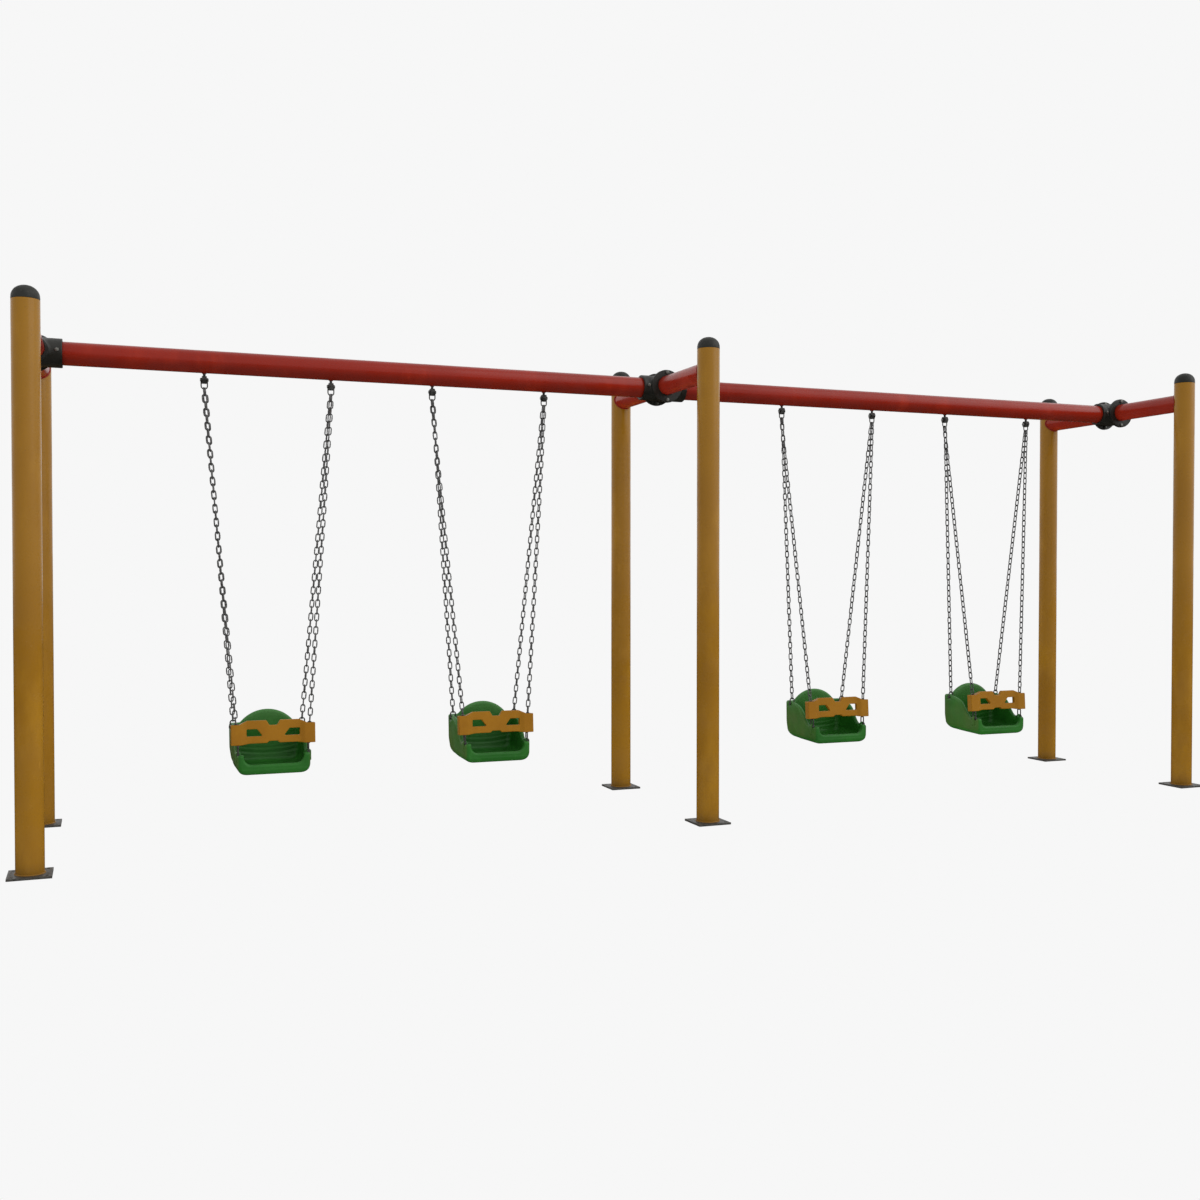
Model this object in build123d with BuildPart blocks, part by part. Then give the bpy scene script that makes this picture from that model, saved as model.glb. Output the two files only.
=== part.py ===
from build123d import *
import math
import os

# Four-seat toddler swing set: two bays on three pairs of posts, one long beam
# per bay, four bucket seats on four chains each, a sliding guard bar per seat.
# Millimetres, +Z up, +X along the beams, -Y is the front (guard bar side).
# Origin: on the ground, at the centre of the six posts.

os.makedirs("parts", exist_ok=True)

# ---------------------------------------------------------------- frame sizes
BAY = 3138.0            # post pair to post pair, along X
POST_Y = 580.4          # post axis from the centre line
POST_R = 57.0           # 114 mm tube
POST_WALL = 4.0
PLATE = 175.0           # square base plate
PLATE_T = 10.0
ANCHOR_PITCH = 135.0    # anchor hole spacing, both ways
ANCHOR_R = 7.0          # for M12 anchors
POST_TOP = 2391.7
CAP_H = 60.0            # domed height of the post cap
CROSS_Z = 2280.0        # axis of the cross pipes
CROSS_R = 50.8
CROSS_WALL = 3.6
BEAM_Z = 2272.3
BEAM_R = 54.0           # 108 mm tube
BEAM_WALL = 4.0
BEAM_START = 68.0       # beam end, from the post pair's centre
FIT_GAP = 0.15          # assembly clearance round tubes in the castings
SOCKET_END = 125.0      # mouth of the beam socket
SOCKET_R = 67.0
BARREL_R = 64.0
BARREL_Y = 62.0
FLANGE_R = 88.0
FLANGE_T = 8.0
FLANGE_BOLT_R = 74.0
BOLT_R = 5.0
SCREW_X = 102.0         # set screws of the beam sockets, from the post pair's centre

# ---------------------------------------------------------------- hanger sizes
SWING_X = [-2090.0, -978.0, 1048.0, 2160.0]
HANG_DX = 300.0         # hanger from the swing's centre
PIVOT_Z = 2186.0
BLOCK_W = 22.0
PIN_R = 5.0
BUSH_R = 7.5
RUN_GAP = 0.05          # radial running clearance of the pin in its bush
SHACKLE_WIRE = 3.0
SHACKLE_BOT = 2140.0

# ---------------------------------------------------------------- chain sizes
LINK_W = 25.0           # outside width of a link
ROD_TOP_R = 3.0         # the chain's line, upper and lower end
ROD_LOW_R = 6.6
ROD_START = 7.0         # clear of the shackle crowns
TOP_SPLIT = 3.4         # the two first links side by side in the shackle

# ---------------------------------------------------------------- seat sizes
FRONT_X, FRONT_Y = 165.0, -118.0
REAR_X, REAR_Y = 167.0, 105.0
FRONT_PIN_Z = 400.0
REAR_PIN_Z = 508.0
SH_WIRE = 3.4           # seat shackle wire radius
SH_IN = 9.4             # inside radius of the shackle bow
FRONT_BOW_Z = 434.0
REAR_BOW_Z = 528.0
SEAT_BOTTOM = 297.0
SEAT_WALL = 13.0
BOWL_Z = SEAT_BOTTOM + SEAT_WALL      # floor of the bowl

# ---------------------------------------------------------------- guard bar
BAR_HALF = 197.0
BAR_T = 22.0
BAR_END_T = 41.0
BAR_LIFT = 60.0         # how far the bar slides up the front chains
BAR_BOTTOM = 443.4      # underside of the bar's end blocks


def front_plane(xc, y, z=0.0):
    """Sketch plane facing the front: sketch x is X, sketch y is Z."""
    return Plane(origin=(xc, y, z), x_dir=(1, 0, 0), z_dir=(0, -1, 0))


def side_plane(x, y=0.0, z=0.0):
    """Sketch plane across the row: sketch x is Y, sketch y is Z."""
    return Plane(origin=(x, y, z), x_dir=(0, 1, 0), z_dir=(1, 0, 0))


def save(shape, name):
    shape.label = name
    export_step(shape, "parts/" + name + ".step")


# ============================================================ posts and feet
POST_SITES = {
    "front_left": (-BAY, -POST_Y), "rear_left": (-BAY, POST_Y),
    "front_middle": (0.0, -POST_Y), "rear_middle": (0.0, POST_Y),
    "front_right": (BAY, -POST_Y), "rear_right": (BAY, POST_Y),
}
for site, (px, py) in POST_SITES.items():
    # round steel tube, standing on its plate
    with BuildPart() as post:
        with BuildSketch(Plane(origin=(px, py, PLATE_T))):
            Circle(POST_R)
            Circle(POST_R - POST_WALL, mode=Mode.SUBTRACT)
        extrude(amount=POST_TOP - PLATE_T)
    save(post.part, "post_" + site)

    # square base plate with four anchor holes
    with BuildPart() as plate:
        with BuildSketch(Plane(origin=(px, py, 0))):
            Rectangle(PLATE, PLATE)
            with GridLocations(ANCHOR_PITCH, ANCHOR_PITCH, 2, 2):
                Circle(ANCHOR_R, mode=Mode.SUBTRACT)
        extrude(amount=PLATE_T)
        chamfer(plate.edges().filter_by(Axis.Z).filter_by(GeomType.LINE), 3.0)
    save(plate.part, "base_plate_" + site)

# domed press-in cap: dome, rim, skirt plugged into the tube
with BuildPart() as cap:
    with BuildSketch(Plane.XZ):
        with BuildLine():
            Spline((POST_R, POST_TOP), (POST_R - 3, POST_TOP + 22), (POST_R - 14, POST_TOP + 41),
                   (POST_R - 34, POST_TOP + 55), (0, POST_TOP + CAP_H), tangents=((0, 1), (-1, 0)))
            Polyline(
                (0, POST_TOP + CAP_H), (0, POST_TOP + CAP_H - 8),
                (POST_R - 24, POST_TOP + 20), (POST_R - POST_WALL - 7, POST_TOP - 2),
                (POST_R - POST_WALL - 7, POST_TOP - 30),
                (POST_R - POST_WALL - 0.2, POST_TOP - 30),
                (POST_R - POST_WALL - 0.2, POST_TOP), (POST_R, POST_TOP),
            )
        make_face()
    revolve(axis=Axis.Z)
for pair, px in (("left", -BAY), ("middle", 0.0), ("right", BAY)):
    pair_caps = Compound(children=[cap.part.moved(Location((px, py, 0))) for py in (-POST_Y, POST_Y)])
    save(pair_caps, "post_caps_" + pair)

# ============================================================ cross pipes
for pair, px in (("left", -BAY), ("middle", 0.0), ("right", BAY)):
    # tube from the front post to the rear post, ends coped to the posts
    with BuildPart() as cross:
        with BuildSketch(front_plane(px, POST_Y - 20, CROSS_Z)):
            Circle(CROSS_R)
            Circle(CROSS_R - CROSS_WALL, mode=Mode.SUBTRACT)
        extrude(amount=2 * POST_Y - 40)
        for py in (-POST_Y, POST_Y):
            with BuildSketch(Plane(origin=(px, py, CROSS_Z - 120))):
                Circle(POST_R)
            extrude(amount=240, mode=Mode.SUBTRACT)
    save(cross.part, "cross_pipe_" + pair)

# ============================================================ beams
for bay, x0 in (("left", -BAY), ("right", 0.0)):
    with BuildPart() as beam:
        with BuildSketch(side_plane(x0 + BEAM_START, 0, BEAM_Z)):
            Circle(BEAM_R)
            Circle(BEAM_R - BEAM_WALL, mode=Mode.SUBTRACT)
        extrude(amount=BAY - 2 * BEAM_START)
    save(beam.part, "beam_" + bay)

# ============================================================ cast fittings
# sides: +1 or -1 for a beam socket on that side; collar radii front and rear
FITTINGS = {
    "left": (-BAY, (1,), 60.0, 84.0),
    "middle": (0.0, (-1, 1), FLANGE_R, FLANGE_R),
    "right": (BAY, (-1,), FLANGE_R, FLANGE_R),
}
all_bolts = []
for pair, (px, sides, r_front, r_rear) in FITTINGS.items():
    with BuildPart() as fit:
        # barrel round the cross pipe
        with BuildSketch(front_plane(px, BARREL_Y, CROSS_Z - 4)):
            Circle(BARREL_R)
        extrude(amount=2 * BARREL_Y)
        # end flanges of the barrel
        for y0, rr in ((-BARREL_Y, r_front), (BARREL_Y + FLANGE_T, r_rear)):
            with BuildSketch(front_plane(px, y0, CROSS_Z - 4)):
                Circle(rr)
            extrude(amount=FLANGE_T)
        # beam sockets
        for s in sides:
            with BuildSketch(side_plane(px, 0, BEAM_Z)):
                Circle(SOCKET_R)
            extrude(amount=s * SOCKET_END)
        # bore for the cross pipe
        with BuildSketch(front_plane(px, 120, CROSS_Z)):
            Circle(CROSS_R + FIT_GAP)
        extrude(amount=240, mode=Mode.SUBTRACT)
        # bores for the beams
        for s in sides:
            with BuildSketch(side_plane(px + s * (BEAM_START - FIT_GAP), 0, BEAM_Z)):
                Circle(BEAM_R + FIT_GAP)
            extrude(amount=s * 80, mode=Mode.SUBTRACT)
            # threaded holes of the set screws, front and rear
            for out in (-1, 1):
                with BuildSketch(Plane(origin=(px + s * SCREW_X, out * (BEAM_R - 4), BEAM_Z + 6), z_dir=(0, out, 0))):
                    Circle(BOLT_R)
                extrude(amount=20, mode=Mode.SUBTRACT)
        # flange bolt holes
        for rr, y0 in ((r_front, -BARREL_Y + 2), (r_rear, BARREL_Y + FLANGE_T + 2)):
            if rr > FLANGE_BOLT_R + 8:
                with BuildSketch(front_plane(px, y0, CROSS_Z - 4)):
                    with Locations((0, FLANGE_BOLT_R), (0, -FLANGE_BOLT_R)):
                        Circle(BOLT_R)
                extrude(amount=FLANGE_T + 4, mode=Mode.SUBTRACT)
    save(fit.part, "beam_fitting_" + pair)

    # split-ring collars bolted on the end flanges
    collars = []
    for rr, y0, out in ((r_front, -BARREL_Y - FLANGE_T, -1), (r_rear, BARREL_Y + FLANGE_T, 1)):
        with BuildPart() as collar:
            with BuildSketch(front_plane(px, y0, CROSS_Z - 4)):
                Circle(rr)
                with Locations((0, 4)):
                    Circle(CROSS_R + FIT_GAP, mode=Mode.SUBTRACT)
                if rr > FLANGE_BOLT_R + 8:
                    with Locations((0, FLANGE_BOLT_R), (0, -FLANGE_BOLT_R)):
                        Circle(BOLT_R, mode=Mode.SUBTRACT)
            extrude(amount=-out * FLANGE_T)
            edge_y = y0 + out * FLANGE_T
            chamfer(collar.edges().filter_by(GeomType.CIRCLE).filter_by(
                lambda e: abs(e.center().Y - edge_y) < 0.1 and e.radius > CROSS_R + 5), 2.0)
        collars.append(collar.part)
        # hexagon bolts with nuts, top and bottom of the flange
        if rr > FLANGE_BOLT_R + 8:
            for sz in (1, -1):
                bz = CROSS_Z - 4 + sz * FLANGE_BOLT_R
                face = y0 + out * FLANGE_T
                back = y0 - out * FLANGE_T
                with BuildPart() as bolt:
                    with BuildSketch(front_plane(px, face, bz)):
                        RegularPolygon(9.2, 6)
                    extrude(amount=-out * 6.5)
                    with BuildSketch(front_plane(px, face, bz)):
                        Circle(BOLT_R)
                    extrude(amount=out * (2 * FLANGE_T + 11))
                    with BuildSketch(front_plane(px, back, bz)):
                        RegularPolygon(9.2, 6)
                    extrude(amount=out * 8)
                all_bolts.append(bolt.part)
    save(Compound(children=collars), "fitting_collars_" + pair)

    # hexagon set screws that lock the beam in its socket
    for s in sides:
        for out in (-1, 1):
            plane = Plane(origin=(px + s * SCREW_X, out * (BEAM_R + 0.2), BEAM_Z + 6), z_dir=(0, out, 0))
            with BuildPart() as screw:
                with BuildSketch(plane):
                    Circle(BOLT_R)
                extrude(amount=14)
                with BuildSketch(plane.offset(13.0)):
                    RegularPolygon(8.6, 6)
                extrude(amount=6)
            all_bolts.append(screw.part)
save(Compound(children=all_bolts), "fitting_bolts")

# ============================================================ hangers
bushes = []
for i, xc in enumerate(SWING_X, 1):
    blocks, pins, bows = [], [], []
    for s in (-1, 1):
        hx = xc + s * HANG_DX
        # forged block with a welded neck under the beam
        with BuildPart() as block:
            with BuildSketch(side_plane(hx - BLOCK_W / 2, 0, 0)):
                Polygon((-22, PIVOT_Z + 1), (-13, PIVOT_Z + 17), (13, PIVOT_Z + 17),
                        (22, PIVOT_Z + 1), (13, PIVOT_Z - 17), (-13, PIVOT_Z - 17), align=None)
            extrude(amount=BLOCK_W)
            fillet(block.edges().filter_by(Axis.X), 3.5)
            with BuildSketch(Plane(origin=(hx, 0, PIVOT_Z + 12))):
                Circle(6.5)
            extrude(amount=BEAM_Z - BEAM_R - PIVOT_Z - 12 + 8)
            with BuildSketch(side_plane(hx - 30, 0, BEAM_Z)):
                Circle(BEAM_R)
            extrude(amount=60, mode=Mode.SUBTRACT)
            with BuildSketch(side_plane(hx - 30, 0, PIVOT_Z)):
                Circle(BUSH_R)
            extrude(amount=60, mode=Mode.SUBTRACT)
        blocks.append(block.part)
        # plain bearing bush pressed in the block
        with BuildPart() as bush:
            with BuildSketch(side_plane(hx - BLOCK_W / 2, 0, PIVOT_Z)):
                Circle(BUSH_R)
                Circle(PIN_R + RUN_GAP, mode=Mode.SUBTRACT)
            extrude(amount=BLOCK_W)
        bushes.append(bush.part)
        # pivot pin with low heads, turns with the shackle
        leg_in = BLOCK_W / 2 + 0.4
        leg_out = leg_in + 2 * SHACKLE_WIRE
        with BuildPart() as pin:
            with BuildSketch(side_plane(hx - leg_out, 0, PIVOT_Z)):
                Circle(PIN_R)
            extrude(amount=2 * leg_out)
            for q in (-1, 1):
                with BuildSketch(side_plane(hx + q * leg_out, 0, PIVOT_Z)):
                    Circle(7.5)
                extrude(amount=q * 2.2)
        pins.append(pin.part)
        # U shackle: two eyed legs beside the block, round crown below
        rc = leg_in + SHACKLE_WIRE
        zc = SHACKLE_BOT + SHACKLE_WIRE + rc
        with BuildPart() as bow:
            with BuildSketch(Plane(origin=(hx, 0, zc))):
                with Locations((rc, 0)):
                    Circle(SHACKLE_WIRE)
            revolve(axis=Axis(origin=(hx, 0, zc), direction=(0, 1, 0)), revolution_arc=180)
            for q in (-1, 1):
                with BuildSketch(Plane(origin=(hx, 0, zc))):
                    with Locations((q * rc, 0)):
                        Circle(SHACKLE_WIRE)
                extrude(amount=PIVOT_Z - zc - 7)
                with BuildSketch(side_plane(hx + q * (leg_in + 0.4), 0, PIVOT_Z)):
                    Circle(9.5)
                extrude(amount=q * (2 * SHACKLE_WIRE - 0.8))
                with BuildSketch(side_plane(hx + q * (leg_in - 1), 0, PIVOT_Z)):
                    Circle(PIN_R + 0.02)
                extrude(amount=q * (2 * SHACKLE_WIRE + 2), mode=Mode.SUBTRACT)
        bows.append(bow.part)
    save(Compound(children=blocks), "hanger_blocks_swing_%d" % i)
    save(Compound(children=pins), "pivot_pins_swing_%d" % i)
    save(Compound(children=bows), "hanger_shackles_swing_%d" % i)
save(Compound(children=bushes), "pivot_bushes")

# ============================================================ chains
T_IN = SHACKLE_BOT + 2 * SHACKLE_WIRE          # inside of the shackle's crown


def chain_line(top, bottom):
    """Solid line of one taut chain, with the mass of its links, slimmer at
    the top where the front and the rear chain share one shackle."""
    a, b = Vector(*top), Vector(*bottom)
    u = (b - a).normalized()
    with BuildPart() as line:
        with BuildSketch(Plane(origin=a + u * ROD_START, z_dir=u)):
            Circle(ROD_TOP_R)
        with BuildSketch(Plane(origin=b - u * ROD_START, z_dir=u)):
            Circle(ROD_LOW_R)
        loft(ruled=True)
    return line.part


FRONT_CROWN = FRONT_BOW_Z + SH_IN               # inside top of a front seat shackle
REAR_CROWN = REAR_BOW_Z + SH_IN
for i, xc in enumerate(SWING_X, 1):
    front, rear = [], []
    for s in (-1, 1):
        front.append(chain_line((xc + s * (HANG_DX + TOP_SPLIT), 0, T_IN),
                                (xc + s * FRONT_X, FRONT_Y, FRONT_CROWN)))
        rear.append(chain_line((xc + s * (HANG_DX - TOP_SPLIT), 0, T_IN),
                               (xc + s * REAR_X, REAR_Y, REAR_CROWN)))
    save(Compound(children=front), "front_chains_swing_%d" % i)
    save(Compound(children=rear), "rear_chains_swing_%d" % i)

# ============================================================ seats
for i, xc in enumerate(SWING_X, 1):
    # bowl: the same two outlines, one wall thickness further in
    with BuildPart() as bowl:
        with BuildSketch(front_plane(xc, 200)):
            with BuildLine():
                Polyline((-124, BOWL_Z), (124, BOWL_Z))
                ThreePointArc((124, BOWL_Z), (154, BOWL_Z + 13), (167, BOWL_Z + 43))
                Polyline((167, BOWL_Z + 43), (170, 640), (-170, 640), (-167, BOWL_Z + 43))
                ThreePointArc((-167, BOWL_Z + 43), (-154, BOWL_Z + 13), (-124, BOWL_Z))
            make_face()
        extrude(amount=400)
        with BuildSketch(side_plane(xc - 200)):
            with BuildLine():
                Polyline((-124, BOWL_Z), (92, BOWL_Z))
                ThreePointArc((92, BOWL_Z), (129, BOWL_Z + 16), (143, BOWL_Z + 49))
                Polyline((143, BOWL_Z + 49), (144, 640), (-148, 640), (-148, BOWL_Z + 20))
                ThreePointArc((-148, BOWL_Z + 20), (-140, BOWL_Z + 6), (-124, BOWL_Z))
            make_face()
        extrude(amount=400, mode=Mode.INTERSECT)
    with BuildPart() as seat:
        # front outline: round lower corners, round-topped back
        with BuildSketch(front_plane(xc, 156)):
            with BuildLine():
                Polyline((-130, SEAT_BOTTOM), (130, SEAT_BOTTOM))
                ThreePointArc((130, SEAT_BOTTOM), (166.0624, SEAT_BOTTOM + 14.9376), (181, SEAT_BOTTOM + 51))
                Polyline((181, SEAT_BOTTOM + 51), (183, 510))
                ThreePointArc((183, 510), (178, 519), (168, 522))
                Polyline((168, 522), (132, 522))
                ThreePointArc((132, 522), (0, 587), (-132, 522))
                Polyline((-132, 522), (-168, 522))
                ThreePointArc((-168, 522), (-178, 519), (-183, 510))
                Polyline((-183, 510), (-181, SEAT_BOTTOM + 51))
                ThreePointArc((-181, SEAT_BOTTOM + 51), (-166.0624, SEAT_BOTTOM + 14.9376), (-130, SEAT_BOTTOM))
            make_face()
        extrude(amount=156 + 162)
        # side outline: low front lip, front ear, sweep up to the rear ear, round rear corner
        with BuildSketch(side_plane(xc - 200)):
            with BuildLine():
                Polyline((-134, SEAT_BOTTOM), (98, SEAT_BOTTOM))
                ThreePointArc((98, SEAT_BOTTOM), (140, SEAT_BOTTOM + 18), (156, SEAT_BOTTOM + 58))
                Polyline((156, SEAT_BOTTOM + 58), (156, 600), (120, 600))
                Spline((120, 600), (100, 540), (88, 521), (50, 513), (8, 495), (-20, 470), (-45, 436), (-64, 414),
                       (-90, 402))
                Polyline((-90, 402), (-150, 400))
                ThreePointArc((-150, 400), (-159, 396), (-162, 387))
                Polyline((-162, 387), (-162, 330))
                ThreePointArc((-162, 330), (-154, SEAT_BOTTOM + 9), (-134, SEAT_BOTTOM))
            make_face()
        extrude(amount=400, mode=Mode.INTERSECT)
        add(bowl.part, mode=Mode.SUBTRACT)
        # open front for the legs, above the lip
        with BuildSketch(front_plane(xc, -100)):
            with BuildLine():
                Polyline((-110, 352), (110, 352))
                ThreePointArc((110, 352), (136, 362), (148, 388))
                Polyline((148, 388), (152, 480), (-152, 480), (-148, 388))
                ThreePointArc((-148, 388), (-136, 362), (-110, 352))
            make_face()
        extrude(amount=80, mode=Mode.SUBTRACT)
    body = seat.part
    with BuildPart() as seat2:
        add(body)
        for s in (-1, 1):
            # rear ears: part of the side walls, bored for the shackle pin
            with BuildSketch(side_plane(xc + s * REAR_X - 9)):
                with Locations((REAR_Y, REAR_PIN_Z - 18)):
                    Rectangle(26, 36)
                with Locations((REAR_Y, REAR_PIN_Z)):
                    Circle(13)
            extrude(amount=18)
            # front ears: short posts on the front corners
            with BuildSketch(front_plane(xc + s * FRONT_X, FRONT_Y + 9)):
                with Locations((0, FRONT_PIN_Z - 30)):
                    Rectangle(26, 60)
                with Locations((0, FRONT_PIN_Z)):
                    Circle(13)
            extrude(amount=18)
            # room for the shackle legs beside the rear ears, and their pin bores
            for q in (-1, 1):
                with BuildSketch(side_plane(xc + s * REAR_X + q * 9)):
                    with Locations((REAR_Y, REAR_PIN_Z + 6)):
                        Rectangle(34, 40)
                extrude(amount=q * 14, mode=Mode.SUBTRACT)
                with BuildSketch(front_plane(xc + s * FRONT_X, FRONT_Y + q * 9)):
                    with Locations((0, FRONT_PIN_Z + 8)):
                        Rectangle(40, 42)
                extrude(amount=-q * 14, mode=Mode.SUBTRACT)
            with BuildSketch(side_plane(xc + s * REAR_X - 40, REAR_Y, REAR_PIN_Z)):
                Circle(PIN_R - 1 + 0.1)
            extrude(amount=80, mode=Mode.SUBTRACT)
            with BuildSketch(front_plane(xc + s * FRONT_X, FRONT_Y + 40, FRONT_PIN_Z)):
                Circle(PIN_R - 1 + 0.1)
            extrude(amount=80, mode=Mode.SUBTRACT)
    save(seat2.part, "seat_swing_%d" % i)

    # seat shackles: wire bow over the ear, headed pin through it
    links = []
    for s in (-1, 1):
        for (cx, cy, pz, bz, across) in ((s * FRONT_X, FRONT_Y, FRONT_PIN_Z, FRONT_BOW_Z, "y"),
                                         (s * REAR_X, REAR_Y, REAR_PIN_Z, REAR_BOW_Z, "x")):
            rc = SH_IN + SH_WIRE
            ax = (0, -1, 0) if across == "x" else (1, 0, 0)
            xdir = (1, 0, 0) if across == "x" else (0, 1, 0)
            base = Plane(origin=(xc + cx, cy, bz), x_dir=xdir, z_dir=(0, 0, 1))
            pin_dir = Vector(*xdir)
            with BuildPart() as shk:
                with BuildSketch(base):
                    with Locations((rc, 0)):
                        Circle(SH_WIRE)
                revolve(axis=Axis(origin=(xc + cx, cy, bz), direction=ax), revolution_arc=180)
                for q in (-1, 1):
                    with BuildSketch(base):
                        with Locations((q * rc, 0)):
                            Circle(SH_WIRE)
                    extrude(amount=-(bz - pz))
                    eye = Plane(origin=(xc + cx + q * (SH_IN + 0.1) * pin_dir.X,
                                        cy + q * (SH_IN + 0.1) * pin_dir.Y, pz),
                                x_dir=(0, 0, 1), z_dir=(q * pin_dir.X, q * pin_dir.Y, 0))
                    with BuildSketch(eye):
                        Circle(7.5)
                    extrude(amount=2 * SH_WIRE)
                    with BuildSketch(eye.offset(2 * SH_WIRE)):
                        RegularPolygon(6.5, 6)
                    extrude(amount=3)
                through = Plane(origin=(xc + cx - 14 * pin_dir.X, cy - 14 * pin_dir.Y, pz),
                                x_dir=(0, 0, 1), z_dir=(pin_dir.X, pin_dir.Y, 0))
                with BuildSketch(through):
                    Circle(PIN_R - 1)
                extrude(amount=28)
            links.append(shk.part)
    save(Compound(children=links), "seat_shackles_swing_%d" % i)

# ============================================================ guard bars
LEAN = math.atan2(-FRONT_Y, T_IN - FRONT_CROWN)         # lean of the front chains in YZ
FLARE = (HANG_DX + TOP_SPLIT - FRONT_X) / math.hypot(FRONT_Y, T_IN - FRONT_CROWN)
for i, xc in enumerate(SWING_X, 1):
    y_low = FRONT_Y + (BAR_BOTTOM - FRONT_CROWN) * math.tan(LEAN)
    # bar plane: x along X, y up along the chains, normal towards the front
    bar_plane = Plane(origin=(xc, y_low, BAR_BOTTOM), x_dir=(1, 0, 0),
                      z_dir=(0, -math.cos(LEAN), math.sin(LEAN)))
    x_low = FRONT_X + (BAR_BOTTOM - FRONT_CROWN) * FLARE
    with BuildPart() as bar:
        with BuildSketch(bar_plane.offset(-BAR_T / 2)):
            pts = [(-BAR_HALF, 0), (-150, 0), (-110, 6), (-30, 6), (-20, 15), (20, 15), (30, 6), (110, 6),
                   (150, 0), (BAR_HALF, 0), (BAR_HALF, 97), (160, 97), (122, 115), (33, 115), (18, 91),
                   (-18, 91), (-33, 115), (-122, 115), (-160, 97), (-BAR_HALF, 97)]
            Polygon(*pts, align=None)
            for s in (-1, 1):
                Polygon((s * 125, 40), (s * 50, 40), (s * 76, 74), (s * 125, 74), align=None, mode=Mode.SUBTRACT)
        extrude(amount=BAR_T)
        # thicker ends round the chains
        with BuildSketch(bar_plane.offset(-BAR_END_T / 2)):
            for s in (-1, 1):
                with Locations((s * (BAR_HALF + 143) / 2, 48.5)):
                    RectangleRounded(BAR_HALF - 143, 97, 4)
        extrude(amount=BAR_END_T)
        # slots that clear the chains over the whole lift
        with BuildSketch(bar_plane.offset(-14)):
            for s in (-1, 1):
                lo_in = x_low - LINK_W / 2 - 1.2 - 4 * FLARE
                lo_out = x_low + LINK_W / 2 + 1.2 + BAR_LIFT * FLARE
                Polygon((s * (lo_in - 6 * FLARE), -6), (s * (lo_out - 6 * FLARE), -6),
                        (s * (lo_out + 106 * FLARE), 106), (s * (lo_in + 106 * FLARE), 106), align=None)
        extrude(amount=28, mode=Mode.SUBTRACT)
    save(bar.part, "guard_bar_swing_%d" % i)

print("lean deg", math.degrees(LEAN), "flare", FLARE)
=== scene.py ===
import bpy
import math
import numpy as np
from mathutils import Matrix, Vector


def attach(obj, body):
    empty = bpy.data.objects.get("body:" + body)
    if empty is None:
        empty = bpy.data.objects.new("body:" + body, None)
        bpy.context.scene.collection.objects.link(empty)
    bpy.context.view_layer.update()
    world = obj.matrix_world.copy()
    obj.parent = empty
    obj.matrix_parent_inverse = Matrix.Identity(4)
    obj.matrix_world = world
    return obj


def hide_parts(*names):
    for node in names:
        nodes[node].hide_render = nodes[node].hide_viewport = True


# Four-seat toddler swing set: the looks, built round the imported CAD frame.
# Lengths in the mesh code are millimetres, and are turned into metres when a mesh is made.

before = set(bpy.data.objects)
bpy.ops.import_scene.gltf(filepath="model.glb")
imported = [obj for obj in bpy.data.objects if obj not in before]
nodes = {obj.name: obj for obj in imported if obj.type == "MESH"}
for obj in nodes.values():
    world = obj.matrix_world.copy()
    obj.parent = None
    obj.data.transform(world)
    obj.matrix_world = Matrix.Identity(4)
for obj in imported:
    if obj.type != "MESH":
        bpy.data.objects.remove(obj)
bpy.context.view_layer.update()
scene = bpy.context.scene
MM = 0.001


# ------------------------------------------------------------------ camera
cam_data = bpy.data.cameras.new("camera")
cam_data.sensor_fit = "HORIZONTAL"
cam_data.sensor_width = 36.0
cam_data.lens = 38.087
cam_data.clip_end = 6000.0
cam = bpy.data.objects.new("camera", cam_data)
scene.collection.objects.link(cam)
cam.location = (-2.8430, -6.3565, 1.2465)
cam.rotation_euler = (math.radians(90.0 - 1.0557), 0.0, math.radians(-21.34))
scene.camera = cam


# ------------------------------------------------------------------ mesh tools
class Build:
    """Collects vertices in millimetres and faces with a material number."""

    def __init__(self):
        self.v, self.f, self.m, self.n = [], [], [], 0

    def add(self, verts, faces, mat=0):
        verts = np.asarray(verts, float).reshape(-1, 3)
        self.v.append(verts)
        for face in faces:
            self.f.append(tuple(int(i) + self.n for i in face))
            self.m.append(mat)
        self.n += len(verts)
        return self

    def moved(self, offset):
        out = Build()
        out.v = [np.vstack(self.v) + np.asarray(offset, float)]
        out.f, out.m, out.n = list(self.f), list(self.m), self.n
        return out

    def join(self, other):
        for v in other.v:
            self.v.append(v)
        self.f += [tuple(i + self.n for i in face) for face in other.f]
        self.m += other.m
        self.n += other.n
        return self

    def mesh(self, name, mats, sharp=None):
        me = bpy.data.meshes.new(name)
        me.from_pydata((np.vstack(self.v) * MM).tolist(), [], self.f)
        me.update()
        for m in mats:
            me.materials.append(m)
        me.polygons.foreach_set("material_index", self.m)
        me.polygons.foreach_set("use_smooth", [True] * len(me.polygons))
        if sharp:
            me.set_sharp_from_angle(angle=math.radians(sharp))
        me.update()
        return me


def piece(name, build, mats, body, stands_for=(), sharp=40.0, mesh=None):
    me = mesh or build.mesh(name, mats, sharp)
    ob = bpy.data.objects.new(name, me)
    scene.collection.objects.link(ob)
    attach(ob, body)
    if stands_for:
        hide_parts(*stands_for)
    return ob


def turn(points, axis):
    """(a, b, h) columns to X, Y, Z with h along the axis."""
    a, b, h = points[:, 0], points[:, 1], points[:, 2]
    if axis == "X":
        return np.stack([h, a, b], 1)
    if axis == "Y":
        return np.stack([b, h, a], 1)
    return np.stack([a, b, h], 1)


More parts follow.
